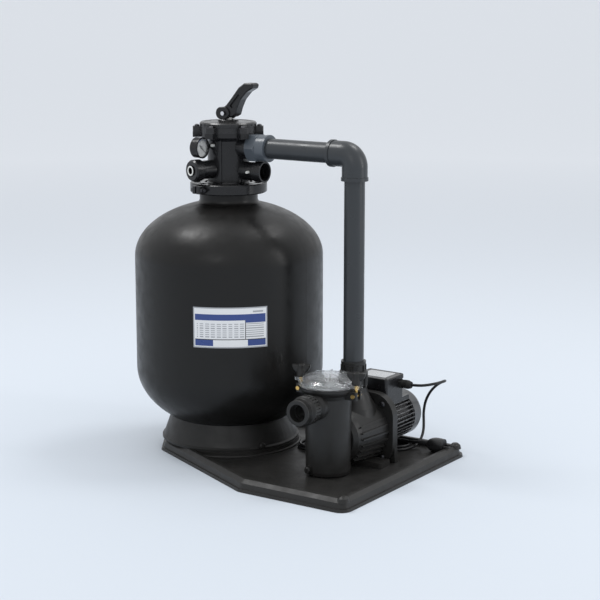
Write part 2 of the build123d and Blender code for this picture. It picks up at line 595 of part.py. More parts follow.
def strainer_lid():
    """Clear domed lid with stiffening ribs and an open-ended ear on each side."""
    skin = lathe((0, 252), (30, 251), (50, 247), (57, 241), (57, 234.2), (72, 234.2), (72, 240.5), (70, 242),
                 (63.5, 242), (61, 249), (45, 256.5), (25, 260), (0, 260.5))
    rib_space = lathe((0, 240), (63, 240), (63, 249), (46, 259.5), (20, 262), (0, 262))
    ribs = around(block((20, 64), (-1.5, 1.5), (244, 262)), 8, 22.5) & rib_space
    ear = block((60, STUD_X + 12), (-13, 13), (234.2, 242))
    ear = fillet(ear.edges().filter_by(Axis.Z), 5)
    ears = Part() + [Rot(0, 0, turn) * ear for turn in (0, 180)]
    slots = around(block((STUD_X - 5.5, STUD_X + 20), (-5.5, 5.5), (230, 250)), 2)
    return Pos(PUMP_X, POT_Y, 0) * ((skin + ears + ribs) - slots)


def lid_seal():
    return Pos(PUMP_X, POT_Y, 231.7) * Torus(63, 2.0)


def strainer_basket():
    """Open basket with slotted wall, a rim that hangs in the pot and a bail across the top."""
    cup = lathe((0, 66), (42, 66), (46, 212), (49.4, 220), (49.4, 223.5), (47, 223.5), (47, 219), (43.6, 212),
                (40, 69), (0, 69))
    slots = around(block((36, 52), (-1.6, 1.6), (80, 132)), 18)
    slots += around(block((36, 52), (-1.6, 1.6), (144, 200)), 18)
    floor_holes = around(Pos(24, 0, 67) * Cylinder(4, 10), 8)
    mouth = aim(TO_FRONT, (0, 0, SUCTION_Z)) * rod(19, 30, 60)
    bail = block((-45, 45), (-3, 3), (213, 219))
    return Pos(PUMP_X, POT_Y, 0) * (cup - slots - floor_holes - mouth + bail)


def t_knob(side):
    """Knob with two wings and a threaded bore for the T-bolt's stud."""
    body = lathe((0, 242.4), (11, 242.4), (12, 246), (11, 252), (9.5, 262), (9.5, 270), (7, 273), (0, 273))
    wing = loft([Pos(0, 0, 252) * RectangleRounded(26, 10, 4), Pos(0, 0, 262) * RectangleRounded(42, 13, 5),
                 Pos(0, 0, 271) * RectangleRounded(46, 11, 5)])
    knob = Rot(0, 0, 20) * (body + wing) - rod(STUD_R + 0.15, 240, 269.5)
    return Pos(PUMP_X + side * STUD_X, POT_Y, 0) * knob


def suction_collar():
    """Threaded suction adaptor with a knurled ring; its mouth faces the front."""
    reach = POT_Y - SUCTION_MOUTH_Y
    outline = ((27.2, 84), (34, 84), (35.5, 86), (35.5, 106), (34, 108), (31, 110), (29, 113), (29, reach - 6),
               (31, reach - 5), (31, reach - 1), (30, reach), (SUCTION_BORE_R, reach), (SUCTION_BORE_R, 112.3),
               (27.2, 112.3))
    grips = around(Pos(35.5, 0, 96) * Box(4, 3, 17), 28)
    threads = Part() + [tube(30.8, 28, z, z + 1.8) for z in (114, 118, 122)]
    return aim(TO_FRONT, (PUMP_X, POT_Y, SUCTION_Z)) * (lathe(*outline) + threads - grips)


def drain_plugs():
    """Drain plugs of the strainer pot and of the tank's foot."""
    plug = rod(4.9, -12, 0) + lathe((0, 0), (8, 0), (8, 5), (6.5, 7), (0, 7)) - Pos(0, 0, 7) * Box(11, 2, 3)
    pot_plug = aim(TO_FRONT, (PUMP_X - 22, POT_Y - 54, 30)) * plug
    turn = math.radians(DRAIN_TURN)
    out = (math.cos(turn), math.sin(turn), 0)
    knob = lathe((0, 0), (8, 0), (8, 4), (6, 8), (0, 8.5))
    foot_plug = aim(out, (175.2 * out[0], 175.2 * out[1], 38)) * knob
    return Part() + [pot_plug, foot_plug]


def seal_plate():
    """Bracket that closes the volute, carries the motor and stands on two feet."""
    front = FLANGE_Y + 8
    plate = flange_plate(front, MOTOR_FRONT_Y, BASE_FLOOR_Z)
    feet = Part() + [foot_wedge(side) for side in (-1, 1)]
    window = block((PUMP_X - 52, PUMP_X + 52), (front - 1, MOTOR_FRONT_Y + 1), (BASE_FLOOR_Z - 1, 26))
    plug = pump_axis_rod(59.7, front - 10, front)
    recess = pump_axis_rod(44, front + 6, MOTOR_FRONT_Y + 1)
    shaft_hole = pump_axis_rod(SHAFT_R + 1, front - 20, MOTOR_FRONT_Y + 1)
    seal_pocket = pump_axis_rod(15.1, front - 20, front - 3)
    screw_holes = at_flange_screws(rod(3.2, -30, -4))
    return plate + feet + plug - window - recess - shaft_hole - seal_pocket - screw_holes


def foot_wedge(side):
    outline = Polyline((70, BASE_FLOOR_Z), (94, BASE_FLOOR_Z), (94, 20), (91.5, 60), (70, 60), close=True)
    wedge = Pos(PUMP_X, MOTOR_FRONT_Y, 0) * extrude(Plane.XZ * make_face(outline), MOTOR_FRONT_Y - FLANGE_Y - 8)
    return wedge if side > 0 else mirror(wedge, Plane.YZ.offset(PUMP_X))


def flange_screws():
    return at_flange_screws(lathe((0, 0), (7.5, 0), (7.5, 3), (5, 6), (0, 6.6)) + rod(3, -19, 0))


def impeller():
    """Closed impeller: two discs with curved vanes between them, keyed to the shaft by its hub."""
    front = tube(56, 17, -9, -6.5)
    back = tube(56, SHAFT_R + 0.02, 5, 8)
    hub = tube(11, SHAFT_R + 0.02, -6, 16)
    blade = Rot(0, 0, 35) * Box(13, 2.4, 11.8)
    vane = [Rot(0, 0, 25 * step) * Pos(15 + 9 * step, 0, -0.7) * blade for step in range(4)]
    return PUMP_AXIS * (front + back + hub + around(Part() + vane, 6))


def shaft_seal():
    front = FLANGE_Y + 8
    return PUMP_AXIS * tube(15, SHAFT_R + 0.4, 30, front - 3)


def motor_shaft():
    return pump_axis_rod(SHAFT_R, -8, 224)


def motor_rotor():
    return PUMP_AXIS * (tube(25.5, SHAFT_R + 0.02, 92, 168) + tube(22, SHAFT_R + 0.02, 88, 172))


def motor_stator():
    return PUMP_AXIS * lathe((26.2, 92), (28, 78), (40, 78), (42, 90), (45.9, 92), (45.9, 168), (42, 170),
                             (40, 182),
                             (28, 182), (26.2, 168))


def motor_frame():
    """Finned frame with a shield at each end that seats a bearing."""
    inner_r = 46.0
    core_r = 50.0
    fin_count = 36
    fin = Pos((core_r + MOTOR_R) / 2 - 1, 0) * Rectangle(MOTOR_R - core_r + 2, 2.2)
    plan = Circle(core_r) + [Rot(0, 0, 360 * i / fin_count) * fin for i in range(fin_count)]
    plan += Pos(0, -50) * Rectangle(84, 12)
    fins = Pos(0, 0, MOTOR_FRONT_Y + 8) * extrude(plan, MOTOR_BACK_Y - MOTOR_FRONT_Y - 16)
    fins -= block((-51, 51), (-70, SHAFT_Z - BOX_Z[0] + 0.2), (BOX_Y[0] - 1, BOX_Y[1] + 1))
    front = lathe((0, MOTOR_FRONT_Y), (58, MOTOR_FRONT_Y), (59.5, MOTOR_FRONT_Y + 2), (59.5, MOTOR_FRONT_Y + 9),
                  (0, MOTOR_FRONT_Y + 9))
    back = lathe((0, MOTOR_BACK_Y - 9), (56.5, MOTOR_BACK_Y - 9), (56.5, MOTOR_BACK_Y), (0, MOTOR_BACK_Y))
    hollow = rod(inner_r, MOTOR_FRONT_Y + 6, MOTOR_BACK_Y - 6)
    shaft_way = rod(SHAFT_R + 1, 0, 300)
    seats = rod(BEARING_R + 0.01, FRONT_BEARING_Y, FRONT_BEARING_Y + BEARING_W)
    seats += rod(BEARING_R + 0.01, BACK_BEARING_Y, BACK_BEARING_Y + BEARING_W)
    hubs = tube(20, SHAFT_R + 1, MOTOR_FRONT_Y + 5, FRONT_BEARING_Y + BEARING_W)
    hubs += tube(20, SHAFT_R + 1, BACK_BEARING_Y, MOTOR_BACK_Y - 5)
    return PUMP_AXIS * (fins + front + back - hollow + hubs - shaft_way - seats)


def bearings():
    ring = tube(BEARING_R, SHAFT_R + 0.05, 0, BEARING_W)
    grooves = tube(12.6, 10.4, -1, 0.8) + tube(12.6, 10.4, BEARING_W - 0.8, BEARING_W + 1)
    bearing = ring - grooves
    return Part() + [PUMP_AXIS * Pos(0, 0, y) * bearing for y in (FRONT_BEARING_Y, BACK_BEARING_Y)]


def fan():
    hub = tube(13, SHAFT_R + 0.02, 209, 223) + tube(30, 12, 209, 211)
    blades = around(block((12, 48), (-1, 1), (209, 221)), 7)
    return PUMP_AXIS * (hub + blades)


def fan_cover():
    """Cup over the fan, with ring-shaped rows of slots in its end."""
    skin = lathe((57, 199), (MOTOR_R, 199), (MOTOR_R, COVER_BACK_Y - 12), (57, COVER_BACK_Y - 4),
                 (51, COVER_BACK_Y),
                 (0, COVER_BACK_Y), (0, COVER_BACK_Y - 2.5), (50, COVER_BACK_Y - 2.5), (54.5, COVER_BACK_Y - 6),
                 (57, COVER_BACK_Y - 13))
    slots = Part()
    for inner, outer, count in ((12, 25, 10), (29, 46, 18)):
        slots += around(block((inner, outer), (-1.9, 1.9), (COVER_BACK_Y - 5, COVER_BACK_Y + 1)), count)
    return PUMP_AXIS * (skin - slots)


def terminal_box():
    outside = block(BOX_X, BOX_Y, BOX_Z)
    outside = fillet(outside.edges().filter_by(Axis.Z), 7)
    inside = block((BOX_X[0] + 3, BOX_X[1] - 3), (BOX_Y[0] + 3, BOX_Y[1] - 3), (BOX_Z[0] + 3, BOX_Z[1] + 5))
    wire_hole = Pos(PUMP_X, 110, BOX_Z[0]) * Cylinder(8, 10)
    gland_hole = aim(TO_RIGHT, (BOX_X[1] - 10, GLAND_Y, GLAND_Z)) * rod(9.05, 0, 20)
    return outside - inside - wire_hole - gland_hole


def terminal_box_lid():
    lid = block((BOX_X[0] - 2, BOX_X[1] + 2), (BOX_Y[0] - 2, BOX_Y[1] + 2), (BOX_Z[1], BOX_Z[1] + 10))
    lid = fillet(lid.edges().filter_by(Axis.Z), 9)
    lid = fillet(lid.edges().group_by(Axis.Z)[-1], 3)
    recess = block((BOX_X[0] + 5, BOX_X[1] - 5), (BOX_Y[0] + 5, BOX_Y[1] - 5), (BOX_Z[1] - 1, BOX_Z[1] + 5))
    corners = [Pos(x, y, BOX_Z[1] + 10) * Cylinder(3.4, 3) for x in (BOX_X[0] + 6, BOX_X[1] - 6)
               for y in (BOX_Y[0] + 6, BOX_Y[1] - 6)]
    return lid - recess - corners


def cable_gland():
    """Screwed gland with a clamping cap; the cord comes out of it to the right."""
    reach = GLAND_END_X - BOX_X[1]
    body = rod(9, -3.5, 0) + hexagon(20, 0, 8) + tube(10.5, 3.6, 8, 12)
    cap = lathe((3.6, 12), (11, 12), (11, 24), (8.5, reach - 1), (7.5, reach), (3.6, reach))
    grips = around(Pos(11, 0, 17.5) * Box(2, 2, 9), 12)
    return aim(TO_RIGHT, (BOX_X[1], GLAND_Y, GLAND_Z)) * (body + (cap - grips) - rod(3.6, -5, 50))


# ---- Mains cord and plug ----


def corner_radii(route):
    """Largest radius that each corner's two runs allow."""
    points = [Vector(*point) for point in route]
    radii = []
    for before, corner, after in zip(points, points[1:], points[2:]):
        arriving = corner - before
        leaving = after - corner
        turn = math.radians(arriving.get_angle(leaving))
        radii.append(0.45 * min(arriving.length, leaving.length) / math.tan(turn / 2))
    return radii


def cord_tube(name, route):
    radii = corner_radii(route)
    path = FilletPolyline(*route, radius=radii)
    section = Plane(origin=path @ 0, z_dir=path % 0) * Circle(CORD_D / 2)
    tube_solid = sweep(section, path=path)
    full = math.pi * CORD_D ** 2 / 4 * path.length
    print(name, "radii", [round(radius) for radius in radii], "length", round(path.length),
          "volume ratio", round(tube_solid.volume / full, 3))
    return tube_solid


def hank_point(fraction, end_r):
    """Point on a turn of the hank: two round ends joined by sides that bow round the bracket's foot."""
    across = Vector(*HANK_RIGHT) - Vector(*HANK_LEFT)
    middle = (Vector(*HANK_RIGHT) + Vector(*HANK_LEFT)) / 2
    along = across.normalized()
    beside = Vector(-along.Y, along.X)
    half = across.length / 2
    straight = 2 * half
    bend = math.pi * end_r
    way = (fraction % 1) * 2 * (straight + bend)
    if way < bend:
        angle = math.pi / 2 - way / end_r
        place = (half + end_r * math.cos(angle), end_r * math.sin(angle))
    elif way < bend + straight:
        place = (half - (way - bend), -end_r)
    elif way < 2 * bend + straight:
        angle = -math.pi / 2 - (way - bend - straight) / end_r
        place = (-half + end_r * math.cos(angle), end_r * math.sin(angle))
    else:
        place = (-half + (way - 2 * bend - straight), end_r)
    reach = max(-1.0, min(1.0, (place[0] - HANK_BOW_CENTRE) / HANK_BOW_REACH))
    bow = HANK_BOW * math.cos(reach * math.pi / 2) ** 2
    return middle + along * place[0] + beside * (place[1] + bow)


def cord_coil():
    """Outer shape of the loose hank, lying on the base plate's floor."""
    steps = 40

    def oval(end_r):
        return make_face(Spline(*[hank_point(i / steps, end_r) for i in range(steps)], periodic=True))

    plan = oval(HANK_END_R + CORD_D / 2 + 0.5) - oval(HANK_END_R - 1.5 * CORD_D - 1)
    return Pos(0, 0, BASE_FLOOR_Z + 0.2) * extrude(plan, HANK_HEIGHT)


def plug():
    """Round two-pin mains plug with a tapered guard, lying on the base plate."""
    guard = lathe((0, 0), (5, 0), (8.5, 28), (10, 32), (0, 32))
    body = loft([Pos(0, 0, 30) * RectangleRounded(22, 22, 9), Pos(0, 0, 44) * RectangleRounded(33, 31, 11),
                 Pos(0, 0, 62) * RectangleRounded(34, 34, 14), Pos(0, 0, 72) * RectangleRounded(34, 34, 16)])
    pins = Part() + [Pos(0, y, 0) * rod(2.4, 71, 90) for y in (-9.5, 9.5)]
    place = Plane(origin=PLUG_START, x_dir=UP,
                  z_dir=(math.cos(math.radians(PLUG_TURN_DEG)), math.sin(math.radians(PLUG_TURN_DEG)), 0)).location
    return place * (guard + body + pins)


# ---- Write every piece ----
def write(name, piece):
    export_step(TO_ORIGIN * piece, os.path.join("parts", name + ".step"))


tank_space = tank_body(0.3)

write("base_plate", base_plate())
write("tank_skirt", tank_skirt(tank_space))
write("tank_shell", tank_shell())
write("sand_bed", sand_bed())
write("standpipe", standpipe())
write("lateral_hub", lateral_hub())
write("laterals", laterals())
write("top_diffuser", top_diffuser())
write("o_rings", o_rings())
write("clamp_half_front", clamp_half(-1))
write("clamp_half_back", clamp_half(1))
write("clamp_bolts", clamp_bolts())
write("valve_body", valve_body())
write("valve_lid", valve_lid())
write("lid_screws", lid_screws())
write("spider_gasket", spider_gasket())
write("diverter", diverter())
write("valve_spring", valve_spring())
write("handle_washer", handle_washer())
write("handle_pin", handle_pin())
write("valve_handle", valve_handle())
write("waste_plug", waste_plug())
write("vent_screws", vent_screws())
write("gauge_case", gauge_case())
write("gauge_dial", gauge_dial())
write("gauge_needle", gauge_needle())
write("gauge_lens", gauge_lens())
write("pipe_adaptor", pipe_adaptor())
write("horizontal_pipe", horizontal_pipe())
write("elbow", elbow())
write("vertical_pipe", vertical_pipe())
write("union_tail", union_tail())
write("union_nut", union_nut())
write("pump_housing", pump_housing())
write("t_bolts", t_bolts())
write("strainer_lid", strainer_lid())
write("lid_seal", lid_seal())
write("strainer_basket", strainer_basket())
write("left_knob", t_knob(-1))
write("right_knob", t_knob(1))
write("suction_collar", suction_collar())
write("drain_plugs", drain_plugs())
write("seal_plate", seal_plate())
write("flange_screws", flange_screws())
write("impeller", impeller())
write("shaft_seal", shaft_seal())
write("motor_shaft", motor_shaft())
write("motor_rotor", motor_rotor())
write("motor_stator", motor_stator())
write("motor_frame", motor_frame())
write("bearings", bearings())
write("fan", fan())
write("fan_cover", fan_cover())
write("terminal_box", terminal_box())
write("terminal_box_lid", terminal_box_lid())
write("cable_gland", cable_gland())
write("cord_run", cord_tube("cord_run", CORD_ROUTE))
write("cord_coil", cord_coil())
write("cord_tail", cord_tube("cord_tail", TAIL_ROUTE))
write("plug", plug())
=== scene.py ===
import math
import bpy
from mathutils import Matrix, Vector


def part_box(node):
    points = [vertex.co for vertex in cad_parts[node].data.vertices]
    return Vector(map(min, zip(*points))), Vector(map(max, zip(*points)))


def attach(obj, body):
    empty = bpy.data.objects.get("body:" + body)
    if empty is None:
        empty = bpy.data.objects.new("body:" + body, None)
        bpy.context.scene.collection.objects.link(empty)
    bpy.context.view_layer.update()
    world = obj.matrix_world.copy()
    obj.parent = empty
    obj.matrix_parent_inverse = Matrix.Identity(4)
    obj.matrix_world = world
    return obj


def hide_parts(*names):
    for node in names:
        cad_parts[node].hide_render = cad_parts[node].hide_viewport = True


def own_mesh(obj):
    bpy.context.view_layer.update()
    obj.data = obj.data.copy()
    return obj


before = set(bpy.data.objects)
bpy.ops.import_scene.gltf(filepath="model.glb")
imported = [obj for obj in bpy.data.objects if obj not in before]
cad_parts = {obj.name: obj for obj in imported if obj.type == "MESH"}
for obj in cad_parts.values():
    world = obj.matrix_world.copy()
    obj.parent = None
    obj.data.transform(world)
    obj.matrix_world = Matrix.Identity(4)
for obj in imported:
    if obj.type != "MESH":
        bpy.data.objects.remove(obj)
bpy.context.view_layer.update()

ROOT = "tank_and_pump"

# Driving dimensions, in metres, in the frame of the CAD model.
TANK_AXIS = Vector((-0.15925, 0.0355, 0.0))
TANK_R = 0.2375

LABEL_TURN = math.radians(-53)
LABEL_WIDTH = 0.183
LABEL_LOW, LABEL_HIGH = 0.306, 0.406
LABEL_LIFT = 0.0004
LABEL_COLUMNS, LABEL_ROWS = 200, 100
WHITE, BLUE, GREY, DARK = range(4)

WASTE_TURN = math.radians(-108)
WASTE_Z = 0.716
WASTE_RING_BACK = 0.109
WASTE_RING_OUTLINE = ((0.0085, 0.0002), (0.0123, 0.0002), (0.0123, 0.0065),
                      (0.0115, 0.0072), (0.0093, 0.0072), (0.0085, 0.0065))

SPRING_COIL_R = 0.022
SPRING_WIRE_R = 0.0016
SPRING_TURNS = 4
SPRING_STEPS_A_TURN = 36
SPRING_SIDES = 12

DIAL_START, DIAL_SWEEP = 225, 270
DIAL_TICKS, DIAL_ARC_STEPS, DIAL_BLUE_STEPS = 50, 60, 40
DIAL_LIFT = 0.00012

PLATE_HALF_X, PLATE_HALF_Y, PLATE_CORNER = 0.036, 0.027, 0.004
PLATE_LIFT, PLATE_SINK = 0.0005, 0.0001

# The cord: its length and diameter in metres, its route in millimetres from the tank's axis.
CORD_D = 0.007
CORD_RUN = ((449, 139, 190.5), (474, 139.5, 191.5), (497, 142, 195), (516, 158, 199),
            (523, 183, 200), (515, 208, 196), (495, 225, 187), (472, 236, 172),
            (450, 245, 151), (434, 250, 124), (428, 251, 94), (431, 248, 68),
            (436, 239, 52), (441, 225, 40), (443, 208, 28), (442, 190, 20), (437, 173, 17.8))
CORD_TAIL = ((391, 192.5, 25.5), (412, 191, 27.5), (432, 188, 30), (450, 187, 31.5))
HANK_LEFT = Vector((222, 52))
HANK_RIGHT = Vector((399, 172))
HANK_END_R = 38.0
HANK_BOW = 20.0
HANK_BOW_CENTRE = -20.0
HANK_BOW_REACH = 120.0
HANK_START, HANK_END = 0.165, 2.962
HANK_POINTS_A_TURN = 28
HANK_STEP_IN, HANK_STEP_BACK = 7.6, 3.9
HANK_SWAY, HANK_SWAYS_A_TURN = 1.2, 1.7
HANK_Z, HANK_CLIMB = 17.8, 6.5

FLOOR_HALF = 300.0
# Painted shade on the floor: darkest within the near distance of the middle, gone by the far one.
FLOOR_PAINTED_SHADE_NEAR, FLOOR_PAINTED_SHADE_FAR = 0.6, 7.0
AIM = (0, 0, 0.5)
SOFT_BOXES = {  # place, size, power in watts
    "key": ((-1.4, -0.5, 3.2), (0.9, 0.9), 34),
    "top": ((0.6, 1.3, 3.3), (0.9, 0.9), 24),
    "side": ((3.0, 0.9, 1.5), (0.4, 2.4), 18),
    "front": ((1.0, -3.6, 2.4), (1.0, 1.0), 9),
}
WORLD_COLOUR, WORLD_STRENGTH = (0.95, 0.97, 1.0, 1), 0.84

CAMERA_PLACE = (2.310, -3.278, 1.191)
CAMERA_TURN = math.radians(124.21)
CAMERA_PITCH = math.radians(-11.14)
CAMERA_LENS = 99.2

DUST = (0.36, 0.34, 0.31)
EDGE_R = 0.0012


def from_tank(x, y, z):
    """A place given in millimetres from the tank's axis at floor level, in metres in the shared frame."""
    return TANK_AXIS + Vector((x, y, z)) / 1000


# ---------------------------------------------------------------- materials

def link(tree, source, output, target, socket):
    """Join one node's named output to another node's socket."""
    tree.links.new(source.outputs[output], target.inputs[socket])


def noise(tree, coordinates, scale, detail=3.0, stretch=(1, 1, 1)):
    """Noise texture over object coordinates, stretched along chosen axes."""
    mapping = tree.nodes.new("ShaderNodeMapping")
    mapping.inputs["Scale"].default_value = stretch
    link(tree, coordinates, "Object", mapping, "Vector")
    texture = tree.nodes.new("ShaderNodeTexNoise")
    texture.inputs["Scale"].default_value = scale
    texture.inputs["Detail"].default_value = detail
    link(tree, mapping, "Vector", texture, "Vector")
    return texture


def remap(tree, source, output, low, high, to_low, to_high):
    """Stretch an output's range from low..high to to_low..to_high."""
    node = tree.nodes.new("ShaderNodeMapRange")
    node.inputs["From Min"].default_value = low
    node.inputs["From Max"].default_value = high
    node.inputs["To Min"].default_value = to_low
    node.inputs["To Max"].default_value = to_high
    link(tree, source, output, node, "Value")
    return node


def mix_colour(tree, factor, output, first, second):
    """Colour mix; first and second are colours or other colour mixes."""
    node = tree.nodes.new("ShaderNodeMix")
    node.data_type = "RGBA"
    link(tree, factor, output, node, 0)
    for socket, value in ((6, first), (7, second)):
        if isinstance(value, bpy.types.Node):
            tree.links.new(value.outputs[2], node.inputs[socket])
        else:
            node.inputs[socket].default_value = (*value, 1)
    return node


def edge_wear_and_highlight_mask(tree, radius, strength, coordinates):
    """Mask that is high on sharp edges, broken up by noise; it lays both light edge wear and painted edge
    highlights.
    """
    bevel = tree.nodes.new("ShaderNodeBevel")
    bevel.samples = 4
    bevel.inputs["Radius"].default_value = radius
    geometry = tree.nodes.new("ShaderNodeNewGeometry")
    dot = tree.nodes.new("ShaderNodeVectorMath")
    dot.operation = "DOT_PRODUCT"
    link(tree, bevel, "Normal", dot, 0)
    link(tree, geometry, "Normal", dot, 1)
    edge = remap(tree, dot, "Value", 0.995, 0.8, 0.0, strength)
    patches = remap(tree, noise(tree, coordinates, 60, 4), "Fac", 0.35, 0.6, 0.25, 1.0)
    both = tree.nodes.new("ShaderNodeMath")
    both.operation = "MULTIPLY"
    link(tree, edge, "Result", both, 0)
    link(tree, patches, "Result", both, 1)
    return both


def surface(name, colour, rough, grain=0.0012, depth=0.00008, mottle=0.2, edge_wear_and_highlight=0.0, worn_and_highlight_colour=(0.3, 0.3, 0.3),
            stretch=(1, 1, 1), rough_swing=0.08, dust=0.0, metallic=0.0, coat=0.0, specular=0.5):
    """Opaque material with a moulded or brushed grain, uneven gloss, soft mottling, dust, and lighter sharp
    edges that are partly wear and partly painted highlight.
    """
    material = bpy.data.materials.new(name)
    material.use_nodes = True
    tree = material.node_tree
    shader = tree.nodes["Principled BSDF"]
    shader.inputs["Metallic"].default_value = metallic
    shader.inputs["Coat Weight"].default_value = coat
    shader.inputs["Coat Roughness"].default_value = 0.25
    shader.inputs["Specular IOR Level"].default_value = specular
    coordinates = tree.nodes.new("ShaderNodeTexCoord")

    broad = noise(tree, coordinates, 9, 4, stretch)
    darker = tuple(c * (1 - mottle) for c in colour)
    lighter = tuple(min(1, c * (1 + mottle)) for c in colour)
    paint = mix_colour(tree, broad, "Fac", darker, lighter)
    if dust:
        geometry = tree.nodes.new("ShaderNodeNewGeometry")
        split = tree.nodes.new("ShaderNodeSeparateXYZ")
        link(tree, geometry, "Normal", split, "Vector")
        upward = remap(tree, split, "Z", 0.5, 1.0, 0.0, dust)
        patch = remap(tree, noise(tree, coordinates, 22, 6), "Fac", 0.4, 0.7, 0.2, 1.0)
        settled = tree.nodes.new("ShaderNodeMath")
        settled.operation = "MULTIPLY"
        link(tree, upward, "Result", settled, 0)
        link(tree, patch, "Result", settled, 1)
        paint = mix_colour(tree, settled, "Value", paint, DUST)
    # Lighter colour on sharp edges: light wear on most parts, and a painted highlight on the motor fins and
    # fan cover.
    if edge_wear_and_highlight:
        paint = mix_colour(tree, edge_wear_and_highlight_mask(tree, EDGE_R, edge_wear_and_highlight, coordinates), "Value", paint, worn_and_highlight_colour)
    tree.links.new(paint.outputs[2], shader.inputs["Base Color"])

    gloss = remap(tree, noise(tree, coordinates, 35, 5, stretch), "Fac", 0.3, 0.7,
                  rough - rough_swing, rough + rough_swing)
    link(tree, gloss, "Result", shader, "Roughness")

    fine = noise(tree, coordinates, 1 / grain, 2, stretch)
    bump = tree.nodes.new("ShaderNodeBump")
    bump.inputs["Distance"].default_value = depth
    bump.inputs["Strength"].default_value = 0.6
    link(tree, fine, "Fac", bump, "Height")
    ripple = tree.nodes.new("ShaderNodeBump")
    ripple.inputs["Distance"].default_value = depth * 8
    ripple.inputs["Strength"].default_value = 0.25
    link(tree, noise(tree, coordinates, 28, 2, stretch), "Fac", ripple, "Height")
    link(tree, bump, "Normal", ripple, "Normal")
    link(tree, ripple, "Normal", shader, "Normal")
    return material


def clear_plastic(name, tint, alpha, rough):
    """Clear moulded plastic with faint scratches and a slightly uneven surface."""
    material = bpy.data.materials.new(name)
    material.use_nodes = True
    tree = material.node_tree
    shader = tree.nodes["Principled BSDF"]
    shader.inputs["Base Color"].default_value = (*tint, 1)
    shader.inputs["Transmission Weight"].default_value = 0.9
    shader.inputs["IOR"].default_value = 1.45
    shader.inputs["Alpha"].default_value = alpha
    coordinates = tree.nodes.new("ShaderNodeTexCoord")
    haze = remap(tree, noise(tree, coordinates, 70, 6), "Fac", 0.35, 0.7, rough * 0.5, rough * 2)
    link(tree, haze, "Result", shader, "Roughness")
    bump = tree.nodes.new("ShaderNodeBump")
    bump.inputs["Distance"].default_value = 0.0006
    bump.inputs["Strength"].default_value = 0.3
    link(tree, noise(tree, coordinates, 45, 2), "Fac", bump, "Height")
    link(tree, bump, "Normal", shader, "Normal")
    return material


def sand_grains(name):
    """Loose quartz sand: millimetre grains of mixed tan and white."""
    material = surface(name, (0.58, 0.50, 0.37), 0.8, grain=0.0015, depth=0.001)
    tree = material.node_tree
    coordinates = tree.nodes.new("ShaderNodeTexCoord")
    grains = tree.nodes.new("ShaderNodeTexVoronoi")
    grains.inputs["Scale"].default_value = 700
    link(tree, coordinates, "Object", grains, "Vector")
    tone = tree.nodes.new("ShaderNodeMix")
    tone.data_type = "RGBA"
    tone.inputs[6].default_value = (0.48, 0.40, 0.28, 1)
    tone.inputs[7].default_value = (0.72, 0.67, 0.56, 1)
    split = tree.nodes.new("ShaderNodeSeparateColor")
    link(tree, grains, "Color", split, "Color")
    link(tree, split, "Red", tone, 0)
    tree.links.new(tone.outputs[2], tree.nodes["Principled BSDF"].inputs["Base Color"])
    return material


